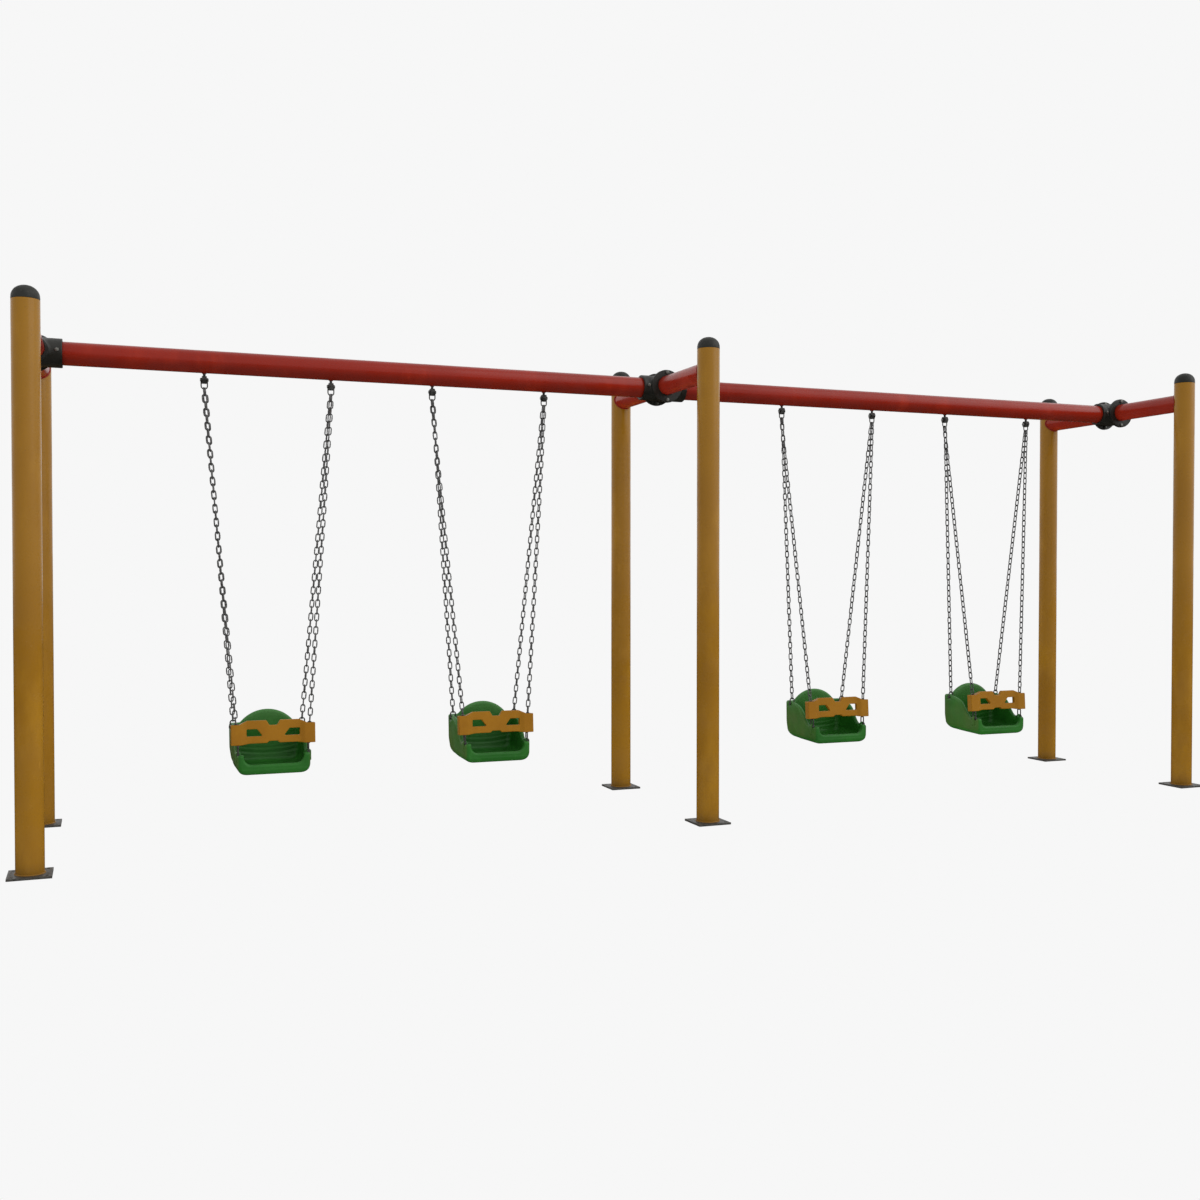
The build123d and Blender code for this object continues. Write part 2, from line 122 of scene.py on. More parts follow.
def lathe(profile, axis="Z", centre=(0, 0, 0), segs=96, closed=True):
    """Solid of revolution. The profile runs counter-clockwise in (radius, height)."""
    rows, verts = [], []
    count = 0
    ang = np.arange(segs) * 2 * math.pi / segs
    ca, sa = np.cos(ang), np.sin(ang)
    for r, h in profile:
        if r < 1e-6:
            verts.append([[0.0, 0.0, h]])
            rows.append([count])
            count += 1
        else:
            verts.append(np.stack([r * ca, r * sa, np.full(segs, h)], 1))
            rows.append(list(range(count, count + segs)))
            count += segs
    faces = []
    pairs = list(zip(rows, rows[1:] + rows[:1])) if closed else list(zip(rows, rows[1:]))
    for lo, hi in pairs:
        for k in range(segs):
            q = (k + 1) % segs
            if len(lo) == 1 and len(hi) == 1:
                continue
            if len(lo) == 1:
                faces.append((lo[0], hi[q], hi[k]))
            elif len(hi) == 1:
                faces.append((lo[k], lo[q], hi[0]))
            else:
                faces.append((lo[k], lo[q], hi[q], hi[k]))
    return turn(np.vstack(verts), axis) + np.asarray(centre, float), faces


def soft_loop(points, radius, n=4):
    """Closed polygon with each corner rounded; radius is one number or one per corner."""
    pts = [np.array(p, float) for p in points]
    out = []
    for i, p in enumerate(pts):
        r = radius[i] if hasattr(radius, "__len__") else radius
        a, b = pts[i - 1] - p, pts[(i + 1) % len(pts)] - p
        la, lb = np.linalg.norm(a), np.linalg.norm(b)
        a, b = a / la, b / lb
        half = math.acos(max(-1.0, min(1.0, float(a @ b)))) / 2
        if r <= 0 or half > 1.5:
            out.append(tuple(p))
            continue
        cut = min(r / math.tan(half), 0.48 * la, 0.48 * lb)
        rr = cut * math.tan(half)
        c = p + (a + b) / np.linalg.norm(a + b) * (rr / math.sin(half))
        s, e = p + a * cut, p + b * cut
        t0 = math.atan2(s[1] - c[1], s[0] - c[0])
        t1 = math.atan2(e[1] - c[1], e[0] - c[0])
        d = (t1 - t0 + math.pi) % (2 * math.pi) - math.pi
        for k in range(n + 1):
            t = t0 + d * k / n
            out.append((c[0] + rr * math.cos(t), c[1] + rr * math.sin(t)))
    return out


def arc3(p0, p1, p2, n):
    """Points on the circle through three points, from p0 to p2, without p0."""
    (ax, ay), (bx, by), (cx, cy) = p0, p1, p2
    d = 2 * (ax * (by - cy) + bx * (cy - ay) + cx * (ay - by))
    ux = ((ax**2 + ay**2) * (by - cy) + (bx**2 + by**2) * (cy - ay) + (cx**2 + cy**2) * (ay - by)) / d
    uy = ((ax**2 + ay**2) * (cx - bx) + (bx**2 + by**2) * (ax - cx) + (cx**2 + cy**2) * (bx - ax)) / d
    r = math.hypot(ax - ux, ay - uy)
    t0, t1, t2 = (math.atan2(y - uy, x - ux) for x, y in (p0, p1, p2))
    sweep = (t2 - t0) % (2 * math.pi)
    if (t1 - t0) % (2 * math.pi) > sweep:
        sweep -= 2 * math.pi
    return [(ux + r * math.cos(t0 + sweep * k / n), uy + r * math.sin(t0 + sweep * k / n)) for k in range(1, n + 1)]


def ring_tube(path, ref, radius, nsec=8):
    """Closed round bar along a closed path; ref is a direction across it, radius one number or one per point."""
    p = np.asarray(path, float)
    t = np.roll(p, -1, 0) - np.roll(p, 1, 0)
    t /= np.linalg.norm(t, axis=1)[:, None]
    ref = np.broadcast_to(np.asarray(ref, float), p.shape)
    n1 = ref - (ref * t).sum(1)[:, None] * t
    n1 /= np.linalg.norm(n1, axis=1)[:, None]
    n2 = np.cross(t, n1)
    r = np.broadcast_to(np.asarray(radius, float), (len(p),))[:, None, None]
    ang = np.arange(nsec) * 2 * math.pi / nsec
    ring = n1[:, None, :] * np.cos(ang)[None, :, None] + n2[:, None, :] * np.sin(ang)[None, :, None]
    verts = (p[:, None, :] + ring * r).reshape(-1, 3)
    faces = []
    m = len(p)
    for i in range(m):
        j = (i + 1) % m
        for k in range(nsec):
            q = (k + 1) % nsec
            faces.append((i * nsec + k, i * nsec + q, j * nsec + q, j * nsec + k))
    return verts, faces


def bead(path, ref, radius, pitch=4.2, seed=0.0):
    """Weld bead with the ripples of its passes."""
    p = np.asarray(path, float)
    seg = np.linalg.norm(np.roll(p, -1, 0) - p, axis=1)
    s = np.concatenate([[0], np.cumsum(seg)[:-1]])
    total = seg.sum()
    turns = max(8, round(total / pitch))
    ph = (s / total * turns + seed) % 1.0
    slow = np.sin(s / total * 2 * math.pi * 5 + seed * 7) * 0.05 + np.sin(s / total * 2 * math.pi * 13 + seed) * 0.04
    r = radius * (0.90 + 0.16 * np.sqrt(1 - (2 * ph - 1) ** 2 * 0.98) + slow)
    return ring_tube(p, ref, r, 8)


def hexhead(plane_pt, out_dir, across, height, washer=None, spin=0.0):
    """Hexagon head with its chamfered top; plane_pt is the middle of its bearing face."""
    z = Vector(out_dir).normalized()
    x = z.orthogonal().normalized()
    y = z.cross(x)
    rows = []
    n = 36
    if washer:
        rows += [(np.full(n, washer), 0.0), (np.full(n, washer), 0.9), (np.full(n, washer - 0.5), 1.2)]
        base = 1.2
    else:
        base = 0.0
    th = np.arange(n) * 2 * math.pi / n
    rel = (th + math.pi / 6) % (math.pi / 3) - math.pi / 6
    rad = across / 2 / np.cos(rel)
    apothem = across / 2
    top = np.minimum(height, height - (rad - apothem * 0.96) * 0.5)
    rows.append((rad, np.full(n, base)))
    rows.append((rad, top))
    rows.append((np.full(n, apothem * 0.93), np.full(n, height)))
    verts, faces = [], []
    for r, h in rows:
        h = np.broadcast_to(h, (n,))
        for k in range(n):
            a = th[k] + spin
            verts.append(Vector(plane_pt) + x * float(r[k] * math.cos(a)) + y * float(r[k] * math.sin(a)) + z * float(h[k]))
    m = len(rows)
    for j in range(m - 1):
        for k in range(n):
            q = (k + 1) % n
            faces.append((j * n + k, j * n + q, (j + 1) * n + q, (j + 1) * n + k))
    faces.append(tuple(range(n - 1, -1, -1)))
    faces.append(tuple((m - 1) * n + k for k in range(n)))
    return np.array([tuple(v) for v in verts]), faces


def shank(p0, p1, radius, n=20):
    """Plain round rod between two points, with a small lead-in on its end."""
    a, b = Vector(p0), Vector(p1)
    z = (b - a).normalized()
    x = z.orthogonal().normalized()
    y = z.cross(x)
    length = (b - a).length
    rows = [(radius, 0.0), (radius, length - 1.0), (radius - 0.9, length)]
    verts, faces = [], []
    for r, h in rows:
        for k in range(n):
            t = 2 * math.pi * k / n
            verts.append(a + x * r * math.cos(t) + y * r * math.sin(t) + z * h)
    for j in range(2):
        for k in range(n):
            q = (k + 1) % n
            faces.append((j * n + k, j * n + q, (j + 1) * n + q, (j + 1) * n + k))
    faces.append(tuple(range(n - 1, -1, -1)))
    faces.append(tuple(2 * n + k for k in range(n)))
    return np.array([tuple(v) for v in verts]), faces


# ------------------------------------------------------------------ solid fields
def rmax(a, b, r):
    """Intersection with a round edge of radius r."""
    return np.minimum(np.maximum(a, b), -r) + np.sqrt(np.maximum(a + r, 0.0) ** 2 + np.maximum(b + r, 0.0) ** 2)


def smin(a, b, k):
    h = np.clip(0.5 + 0.5 * (b - a) / k, 0, 1)
    return b * (1 - h) + a * h - k * h * (1 - h)


def step(x, a, b):
    t = np.clip((x - a) / (b - a), 0, 1)
    return t * t * (3 - 2 * t)


def poly_sd(px, py, pts):
    px, py = np.broadcast_arrays(np.asarray(px, float), np.asarray(py, float))
    shape = px.shape
    x, y = px.ravel(), py.ravel()
    best = np.full(x.shape, 1e18)
    inside = np.zeros(x.shape, bool)
    for i in range(len(pts)):
        ax, ay = pts[i]
        bx, by = pts[(i + 1) % len(pts)]
        ex, ey = bx - ax, by - ay
        wx, wy = x - ax, y - ay
        t = np.clip((wx * ex + wy * ey) / max(ex * ex + ey * ey, 1e-12), 0, 1)
        best = np.minimum(best, (wx - ex * t) ** 2 + (wy - ey * t) ** 2)
        cross = (ay <= y) != (by <= y)
        inside ^= cross & (x < ax + (y - ay) * ex / (ey if ey else 1e-12))
    d = np.sqrt(best)
    d[inside] *= -1
    return d.reshape(shape)


class Field2D:
    """Distance to a closed outline, read from a fine grid."""

    def __init__(self, pts, lo, hi, pitch=1.0):
        self.lo, self.pitch = lo, pitch
        self.na = int((hi[0] - lo[0]) / pitch) + 2
        self.nb = int((hi[1] - lo[1]) / pitch) + 2
        a = lo[0] + pitch * np.arange(self.na)[:, None]
        b = lo[1] + pitch * np.arange(self.nb)[None, :]
        self.d = poly_sd(a, b, pts)

    def __call__(self, a, b):
        fa = np.clip((a - self.lo[0]) / self.pitch, 0, self.na - 1.001)
        fb = np.clip((b - self.lo[1]) / self.pitch, 0, self.nb - 1.001)
        ia, ib = fa.astype(int), fb.astype(int)
        fa, fb = fa - ia, fb - ib
        d = self.d
        return (d[ia, ib] * (1 - fa) * (1 - fb) + d[ia + 1, ib] * fa * (1 - fb)
                + d[ia, ib + 1] * (1 - fa) * fb + d[ia + 1, ib + 1] * fa * fb)


def surface(field, lo, hi, pitch, settle=4):
    """Closed quad mesh on the field's zero level."""
    n = [int(math.ceil((hi[i] - lo[i]) / pitch)) + 1 for i in range(3)]
    ax = [lo[i] + pitch * np.arange(n[i]) for i in range(3)]
    d = field(ax[0][:, None, None], ax[1][None, :, None], ax[2][None, None, :])
    d = np.broadcast_to(d, n)
    ins = d < 0
    cs = tuple(k - 1 for k in n)
    acc = np.zeros(cs + (3,))
    cnt = np.zeros(cs, int)
    base = np.stack(np.meshgrid(*[a[:-1] for a in ax], indexing="ij"), -1)
    corners = [(i, j, k) for i in (0, 1) for j in (0, 1) for k in (0, 1)]
    for c in corners:
        for axis in range(3):
            if c[axis]:
                continue
            e = list(c)
            e[axis] = 1
            s0 = tuple(slice(c[i], c[i] + cs[i]) for i in range(3))
            s1 = tuple(slice(e[i], e[i] + cs[i]) for i in range(3))
            hit = ins[s0] != ins[s1]
            d0, d1 = d[s0][hit], d[s1][hit]
            t = d0 / (d0 - d1)
            p = base[hit] + np.array(c, float) * pitch
            p[:, axis] += t * pitch
            acc[hit] += p
            cnt[hit] += 1
    live = cnt > 0
    idx = np.full(cs, -1)
    idx[live] = np.arange(int(live.sum()))
    verts = acc[live] / cnt[live][:, None]
    faces = []
    for axis in range(3):
        b, c = (axis + 1) % 3, (axis + 2) % 3
        s0, s1 = [slice(1, -1)] * 3, [slice(1, -1)] * 3
        s0[axis], s1[axis] = slice(0, n[axis] - 1), slice(1, n[axis])
        low, high = ins[tuple(s0)], ins[tuple(s1)]
        at = np.argwhere(low != high)
        at[:, b] += 1
        at[:, c] += 1
        q = []
        for db, dc in ((-1, -1), (0, -1), (0, 0), (-1, 0)):
            w = at.copy()
            w[:, b] += db
            w[:, c] += dc
            q.append(idx[w[:, 0], w[:, 1], w[:, 2]])
        q = np.stack(q, 1)
        flip = ~low[low != high]
        q[flip] = q[flip][:, ::-1]
        faces.append(q)
    for _ in range(settle):
        h = 0.25
        d0 = field(verts[:, 0], verts[:, 1], verts[:, 2])
        g = np.stack([(field(*(verts + np.eye(3)[i] * h).T) - field(*(verts - np.eye(3)[i] * h).T)) / (2 * h)
                      for i in range(3)], 1)
        gg = np.maximum((g * g).sum(1), 0.2)
        move = -g * (d0 / gg)[:, None]
        size = np.linalg.norm(move, axis=1)
        verts = verts + move * np.minimum(1.0, 0.35 * pitch / np.maximum(size, 1e-9))[:, None]
    return verts, np.vstack(faces)


def field_mesh(name, verts, faces, mats, sharp=None):
    me = bpy.data.meshes.new(name)
    me.from_pydata((verts * MM).tolist(), [], faces.tolist())
    me.update()
    for m in mats:
        me.materials.append(m)
    me.polygons.foreach_set("use_smooth", [True] * len(me.polygons))
    if sharp:
        me.set_sharp_from_angle(angle=math.radians(sharp))
    me.update()
    return me


# ------------------------------------------------------------------ materials
def lin(r, g, b):
    return tuple((c / 255 / 12.92 if c / 255 <= 0.04045 else ((c / 255 + 0.055) / 1.055) ** 2.4) for c in (r, g, b)) + (1.0,)


class Nodes:
    def __init__(self, name):
        self.mat = bpy.data.materials.new(name)
        self.mat.use_nodes = True
        self.nt = self.mat.node_tree
        self.nt.nodes.clear()
        self.out = self.add("ShaderNodeOutputMaterial")
        self.bsdf = self.add("ShaderNodeBsdfPrincipled")
        self.nt.links.new(self.bsdf.outputs[0], self.out.inputs[0])
        self.tc = self.add("ShaderNodeTexCoord")
        self.co = self.tc.outputs["Object"]

    def add(self, kind, **props):
        n = self.nt.nodes.new(kind)
        for k, v in props.items():
            setattr(n, k, v)
        return n

    def link(self, a, b):
        self.nt.links.new(a, b)

    def noise(self, scale, detail=4.0, rough=0.5, stretch=None, distortion=0.0):
        n = self.add("ShaderNodeTexNoise")
        n.inputs["Scale"].default_value = scale
        n.inputs["Detail"].default_value = detail
        n.inputs["Roughness"].default_value = rough
        n.inputs["Distortion"].default_value = distortion
        src = self.co
        if stretch:
            m = self.add("ShaderNodeMapping")
            m.inputs["Scale"].default_value = stretch
            self.link(src, m.inputs["Vector"])
            src = m.outputs["Vector"]
        self.link(src, n.inputs["Vector"])
        return n.outputs["Fac"]

    def ramp(self, fac, stops):
        n = self.add("ShaderNodeValToRGB")
        el = n.color_ramp.elements
        while len(el) < len(stops):
            el.new(0.5)
        for e, (pos, col) in zip(el, stops):
            e.position = pos
            e.color = col if hasattr(col, "__len__") else (col, col, col, 1.0)
        self.link(fac, n.inputs["Fac"])
        return n.outputs["Color"]

    def span(self, fac, a, b, lo=0.0, hi=1.0):
        n = self.add("ShaderNodeMapRange")
        n.interpolation_type = "SMOOTHSTEP"
        for i, v in zip(("From Min", "From Max", "To Min", "To Max"), (a, b, lo, hi)):
            n.inputs[i].default_value = v
        self.link(fac, n.inputs["Value"])
        return n.outputs["Result"]

    def mix(self, fac, a, b, blend="MIX"):
        n = self.add("ShaderNodeMix", data_type="RGBA", blend_type=blend)
        for sock, val in ((n.inputs[0], fac), (n.inputs[6], a), (n.inputs[7], b)):
            if hasattr(val, "is_linked"):
                self.link(val, sock)
            else:
                sock.default_value = val
        return n.outputs[2]

    def maths(self, op, a, b=0.0):
        n = self.add("ShaderNodeMath", operation=op)
        for sock, val in ((n.inputs[0], a), (n.inputs[1], b)):
            if hasattr(val, "is_linked"):
                self.link(val, sock)
            else:
                sock.default_value = val
        return n.outputs[0]

    def bump(self, height, strength, distance, chain=None):
        n = self.add("ShaderNodeBump")
        n.inputs["Strength"].default_value = strength
        n.inputs["Distance"].default_value = distance
        self.link(height, n.inputs["Height"])
        if chain is not None:
            self.link(chain, n.inputs["Normal"])
        return n.outputs["Normal"]

    def pointy(self, a, b):
        g = self.add("ShaderNodeNewGeometry")
        return self.span(g.outputs["Pointiness"], a, b)

    def height(self):
        s = self.add("ShaderNodeSeparateXYZ")
        self.link(self.co, s.inputs[0])
        return s.outputs[2]

    def set(self, colour=None, rough=None, normal=None, **plain):
        if colour is not None:
            self.link(colour, self.bsdf.inputs["Base Color"])
        if rough is not None:
            self.link(rough, self.bsdf.inputs["Roughness"])
        if normal is not None:
            self.link(normal, self.bsdf.inputs["Normal"])
        for k, v in plain.items():
            self.bsdf.inputs[k.replace("_", " ")].default_value = v
        return self.mat


def powder_coat(name, base, light, dark, rough=0.25, foot=None, spec=0.24, under=None):
    """Gloss powder coat on steel: orange peel, faded and rubbed patches, fine scratches, dust at the foot, and painted
    shade along the underside when under is given.
    """
    n = Nodes(name)
    big = n.noise(1.6, 3, 0.55)
    c = n.mix(n.span(big, 0.32, 0.68), lin(*dark), lin(*base))
    c = n.mix(n.span(n.noise(5.5, 5, 0.6, stretch=(1, 1, 0.35)), 0.5, 0.75), c, lin(*light))
    speck = n.span(n.noise(260, 2, 0.5), 0.66, 0.72)
    c = n.mix(n.maths("MULTIPLY", speck, 0.35), c, lin(*[v * 0.55 for v in dark]))
    scratch = n.span(n.noise(55, 3, 0.6, stretch=(1.0, 1.0, 0.06), distortion=0.6), 0.70, 0.73)
    c = n.mix(n.maths("MULTIPLY", scratch, 0.18), c, lin(*[min(255, v * 1.25 + 14) for v in light]))
    if foot:
        low = n.span(n.height(), foot, 0.0)
        dirt = n.maths("MULTIPLY", low, n.span(n.noise(24, 6, 0.62), 0.36, 0.66))
        c = n.mix(n.maths("MULTIPLY", dirt, 0.22), c, lin(96, 78, 48))
    if under:
        # painted shade along the underside of a level tube: the colour darkens where the surface faces down
        g = n.add("ShaderNodeNewGeometry")
        s = n.add("ShaderNodeSeparateXYZ")
        n.link(g.outputs["Normal"], s.inputs[0])
        c = n.mix(n.maths("MULTIPLY", n.span(s.outputs[2], 0.05, -0.75), under), c, lin(34, 12, 6))
    r = n.span(n.noise(7, 4, 0.6), 0.3, 0.7, rough - 0.05, rough + 0.09)
    if foot:
        r = n.maths("ADD", r, n.maths("MULTIPLY", dirt, 0.3))
    nor = n.bump(n.noise(420, 2, 0.5), 0.10, 0.0006)
    nor = n.bump(scratch, 0.05, 0.0003, nor)
    return n.set(c, r, nor, Specular_IOR_Level=spec)


def cast_black(name, base, edge, rough=0.42, grain=260, spec=0.5):
    """Black coated casting: sand-cast grain, slightly rubbed edges."""
    n = Nodes(name)
    c = n.mix(n.span(n.noise(14, 5, 0.6), 0.35, 0.65), lin(*base), lin(*[v * 1.28 + 2 for v in base]))
    wear = n.maths("MULTIPLY", n.pointy(0.53, 0.60), n.span(n.noise(38, 5, 0.65), 0.35, 0.62))
    c = n.mix(n.maths("MULTIPLY", wear, 0.55), c, lin(*edge))
    dust = n.span(n.noise(90, 4, 0.6), 0.60, 0.74)
    c = n.mix(n.maths("MULTIPLY", dust, 0.25), c, lin(96, 92, 84))
    r = n.span(n.noise(30, 5, 0.6), 0.3, 0.7, rough - 0.08, rough + 0.14)
    nor = n.bump(n.noise(grain, 4, 0.6), 0.35, 0.0009)
    nor = n.bump(n.noise(60, 3, 0.5), 0.18, 0.002, nor)
    return n.set(c, r, nor, Specular_IOR_Level=spec)


def steel(name, base, rust=(92, 58, 34), rough=0.42, metal=0.85, rust_share=0.25, grain=320):
    """Zinc-plated or weathered steel: spangle, stains, a little rust in the grain."""
    n = Nodes(name)
    c = n.mix(n.span(n.noise(70, 4, 0.6), 0.35, 0.65), lin(*base), lin(*[min(255, v * 1.3 + 4) for v in base]))
    c = n.mix(n.maths("MULTIPLY", n.span(n.noise(36, 6, 0.68), 0.56, 0.70), rust_share), c, lin(*rust))
    r = n.span(n.noise(110, 4, 0.6), 0.3, 0.7, rough - 0.10, rough + 0.14)
    nor = n.bump(n.noise(grain, 3, 0.6), 0.16, 0.0005)
    return n.set(c, r, nor, Metallic=metal)


def moulded(name, base, light, dark, edge, rough=0.30, spec=0.42, lo=0.52, hi=0.60, peel=0.12, side_reflection_tint=None):
    """Moulded polyethylene: flow marks, fine skin, scuffed and paled edges, painted shade in the hollows; with a side
    tint, a painted reflection on the outer side walls and painted light on the top of the back.
    """
    n = Nodes(name)
    c = n.mix(n.span(n.noise(4.2, 4, 0.55), 0.32, 0.68), lin(*dark), lin(*base))
    c = n.mix(n.maths("MULTIPLY", n.span(n.noise(11, 5, 0.6, distortion=0.8), 0.50, 0.78), 0.55), c, lin(*light))
    wear = n.maths("MULTIPLY", n.pointy(lo, hi), n.span(n.noise(26, 6, 0.65), 0.28, 0.62))
    c = n.mix(n.maths("MULTIPLY", wear, 0.32), c, lin(*edge))
    if side_reflection_tint:
        # painted reflection of the surroundings: a brownish veil on the outer side walls
        at = n.add("ShaderNodeAttribute", attribute_name="outside")
        veil = n.maths("MULTIPLY", at.outputs["Fac"], n.span(n.noise(8, 4, 0.55, stretch=(1, 1, 0.5)), 0.25, 0.75, 0.35, 1.0))
        c = n.mix(n.maths("MULTIPLY", veil, 0.42), c, lin(*side_reflection_tint))
        # painted light: the top of the back is lightened, a painted sheen in place of light falling on it
        at = n.add("ShaderNodeAttribute", attribute_name="painted_top_light")
        pale = n.maths("MULTIPLY", at.outputs["Fac"], n.span(n.noise(6, 4, 0.55), 0.25, 0.75, 0.55, 1.0))
        c = n.mix(n.maths("MULTIPLY", pale, 0.55), c, lin(88, 136, 78))
    scuff = n.span(n.noise(48, 3, 0.6, stretch=(1.0, 0.12, 1.0), distortion=1.0), 0.70, 0.74)
    c = n.mix(n.maths("MULTIPLY", scuff, 0.16), c, lin(*edge))
    # painted shade: creases and hollows, where pointiness is low, are darkened
    hollow = n.maths("MULTIPLY", n.pointy(0.49, 0.44), n.span(n.noise(40, 5, 0.6), 0.40, 0.66))
    c = n.mix(n.maths("MULTIPLY", hollow, 0.35), c, lin(*[v * 0.6 + 12 for v in dark]))
    r = n.span(n.noise(16, 5, 0.6), 0.3, 0.7, rough - 0.06, rough + 0.12)
    r = n.maths("ADD", r, n.maths("MULTIPLY", scuff, 0.15))
    nor = n.bump(n.noise(340, 3, 0.55), peel, 0.0005)
    nor = n.bump(n.noise(9, 2, 0.5), 0.10, 0.004, nor)
    return n.set(c, r, nor, Specular_IOR_Level=spec)


M = {
    "post": powder_coat("paint_yellow", (144, 101, 22), (154, 110, 27), (136, 94, 20), foot=0.07),
    # under= paints shade along the underside of the beam
    "beam": powder_coat("paint_red", (140, 30, 12), (152, 38, 17), (129, 26, 10), under=0.42),
    "cross": powder_coat("paint_red_cross", (140, 34, 18), (156, 46, 27), (127, 28, 14)),
    "cap": cast_black("cap_black", (29, 30, 27), (80, 82, 80), rough=0.46, grain=420, spec=0.26),
    "casting": cast_black("casting_black", (23, 23, 19), (66, 72, 72), spec=0.36),
    "hanger": cast_black("hanger_black", (24, 24, 23), (78, 78, 76), grain=500, spec=0.4),
    "bolt": steel("zinc_bolt", (88, 88, 84), rough=0.36, rust_share=0.15),
    "plate": steel("plate_grey", (50, 48, 44), rough=0.5, metal=0.15, rust_share=0.35),
    "shackle": steel("zinc_shackle", (66, 66, 64), rough=0.40, metal=0.7, rust_share=0.15),
    "pin": steel("pin_steel", (96, 96, 94), rough=0.34, rust_share=0.15),
    "bush": steel("bush_bronze", (120, 92, 52), rust=(70, 54, 34), rough=0.4),
    "chain": steel("chain_steel", (80, 80, 80), rough=0.5, metal=0.6, rust_share=0.25),
    "seat": moulded("seat_green", (36, 103, 29), (47, 115, 38), (28, 91, 23), (74, 124, 66), rough=0.36, spec=0.24, side_reflection_tint=(98, 96, 52)),
    "guard": moulded("guard_yellow", (148, 100, 18), (157, 109, 24), (137, 91, 14), (166, 130, 58), rough=0.36, spec=0.13, lo=0.54, hi=0.64),
    "weld_post": powder_coat("weld_yellow", (140, 98, 24), (150, 106, 30), (126, 87, 20), rough=0.36, foot=0.07),
    # under= paints shade along the underside of the weld beads
    "weld_beam": powder_coat("weld_red", (128, 28, 13), (140, 35, 18), (112, 24, 11), rough=0.36, under=0.55),
    "weld_cross": powder_coat("weld_red_cross", (132, 30, 16), (144, 38, 22), (118, 26, 13), rough=0.36),
}

# ------------------------------------------------------------------ posts, feet, caps
BAY, POST_Y, POST_R, POST_WALL = 3138.0, 580.4, 57.0, 4.0
POST_TOP, PLATE_T, CAP_H = 2391.7, 10.0, 60.0
CROSS_Z, CROSS_R, BEAM_Z, BEAM_R = 2280.0, 50.8, 2272.3, 54.0
PAIRS = {"left": -BAY, "middle": 0.0, "right": BAY}
HANG_X = [(-2090.0, 1), (-978.0, 2), (1048.0, 3), (2160.0, 4)]


def cut_plate():
    """Base plate with anchor holes and softened edges, about its own middle."""
    def box_ob(size):
        me = bpy.data.meshes.new("tmp")
        x, y, z = (s / 2 * MM for s in size)
        v = [(sx * x, sy * y, sz * z) for sz in (-1, 1) for sy in (-1, 1) for sx in (-1, 1)]
        me.from_pydata(v, [], [(0, 2, 3, 1), (4, 5, 7, 6), (0, 1, 5, 4), (2, 6, 7, 3), (0, 4, 6, 2), (1, 3, 7, 5)])
        ob = bpy.data.objects.new("tmp", me)
        scene.collection.objects.link(ob)
        return ob

    plate = box_ob((175.0, 175.0, PLATE_T))
    made = [plate]
    for sx in (-67.5, 67.5):
        for sy in (-67.5, 67.5):
            v, f = lathe([(0, -20), (7.0, -20), (7.0, 20), (0, 20)], "Z", (sx, sy, 0), 32, closed=False)
            me = bpy.data.meshes.new("cut")
            me.from_pydata((v * MM).tolist(), [], f)
            cut = bpy.data.objects.new("cut", me)
            scene.collection.objects.link(cut)
            made.append(cut)
            m = plate.modifiers.new("hole", "BOOLEAN")
            m.operation, m.solver, m.object = "DIFFERENCE", "EXACT", cut
    b = plate.modifiers.new("edge", "BEVEL")
    b.width, b.segments, b.limit_method, b.angle_limit = 1.3 * MM, 3, "ANGLE", 0.6
    dg = bpy.context.evaluated_depsgraph_get()
    me = bpy.data.meshes.new_from_object(plate.evaluated_get(dg))
    v = np.array([tuple(p.co) for p in me.vertices]) / MM
    f = [tuple(p.vertices) for p in me.polygons]
    for ob in made:
        bpy.data.objects.remove(ob)
    return v, f


plate_v, plate_f = cut_plate()
circle = np.arange(336) * 2 * math.pi / 336
for pair, px in PAIRS.items():
    for side, py in (("front", -POST_Y), ("rear", POST_Y)):
        node = "post_%s_%s" % (side, pair)
        tube = soft_loop([(POST_R, PLATE_T), (POST_R, POST_TOP), (POST_R - POST_WALL, POST_TOP),
                          (POST_R - POST_WALL, PLATE_T)], [0.4, 1.2, 0.8, 0.4], 3)
        b = Build().add(*lathe(tube, "Z", (px, py, 0), 112))
        # weld round the foot
        p = np.stack([px + (POST_R + 0.8) * np.cos(circle), py + (POST_R + 0.8) * np.sin(circle),
                      np.full(336, PLATE_T + 0.8)], 1)
        b.add(*bead(p, (0, 0, 1), 3.8, seed=px * 0.001 + py * 0.002), mat=1)
        piece(node + "_tube", b, [M["post"], M["weld_post"]], "frame", [node], sharp=35)
        b = Build().add(plate_v + np.array([px, py, PLATE_T / 2]), plate_f)
        piece("base_plate_%s_%s_cut" % (side, pair), b, [M["plate"]], "frame",
              ["base_plate_%s_%s" % (side, pair)], sharp=30)

    # post caps
    dome = [(POST_R - 0.1, POST_TOP + 1.2), (POST_R, POST_TOP + 3.0), (POST_R - 0.2, POST_TOP + 8)]
    for k in range(1, 13):
        t = k / 12 * math.pi / 2
        # a dome a little flatter than a ball at its top
        dome.append(((POST_R - 0.2) * math.cos(t) ** 0.94, POST_TOP + 8 + (CAP_H - 8) * math.sin(t) ** 0.93))
    dome[-1] = (0.0, POST_TOP + CAP_H)
    skirt = POST_R - POST_WALL - 0.25
    under = [(0.0, POST_TOP + CAP_H - 8), (24, POST_TOP + CAP_H - 12), (40, POST_TOP + 20),
             (skirt - 7, POST_TOP - 2), (skirt - 6.5, POST_TOP - 30), (skirt - 0.8, POST_TOP - 30), (skirt, POST_TOP - 29),
             (skirt, POST_TOP + 0.05), (POST_R - 1.3, POST_TOP + 0.05)]
    b = Build()
    for py in (-POST_Y, POST_Y):
        b.add(*lathe(under + dome, "Z", (px, py, 0), 72, closed=False))
    piece("post_caps_%s_domed" % pair, b, [M["cap"]], "frame", ["post_caps_" + pair], sharp=35)

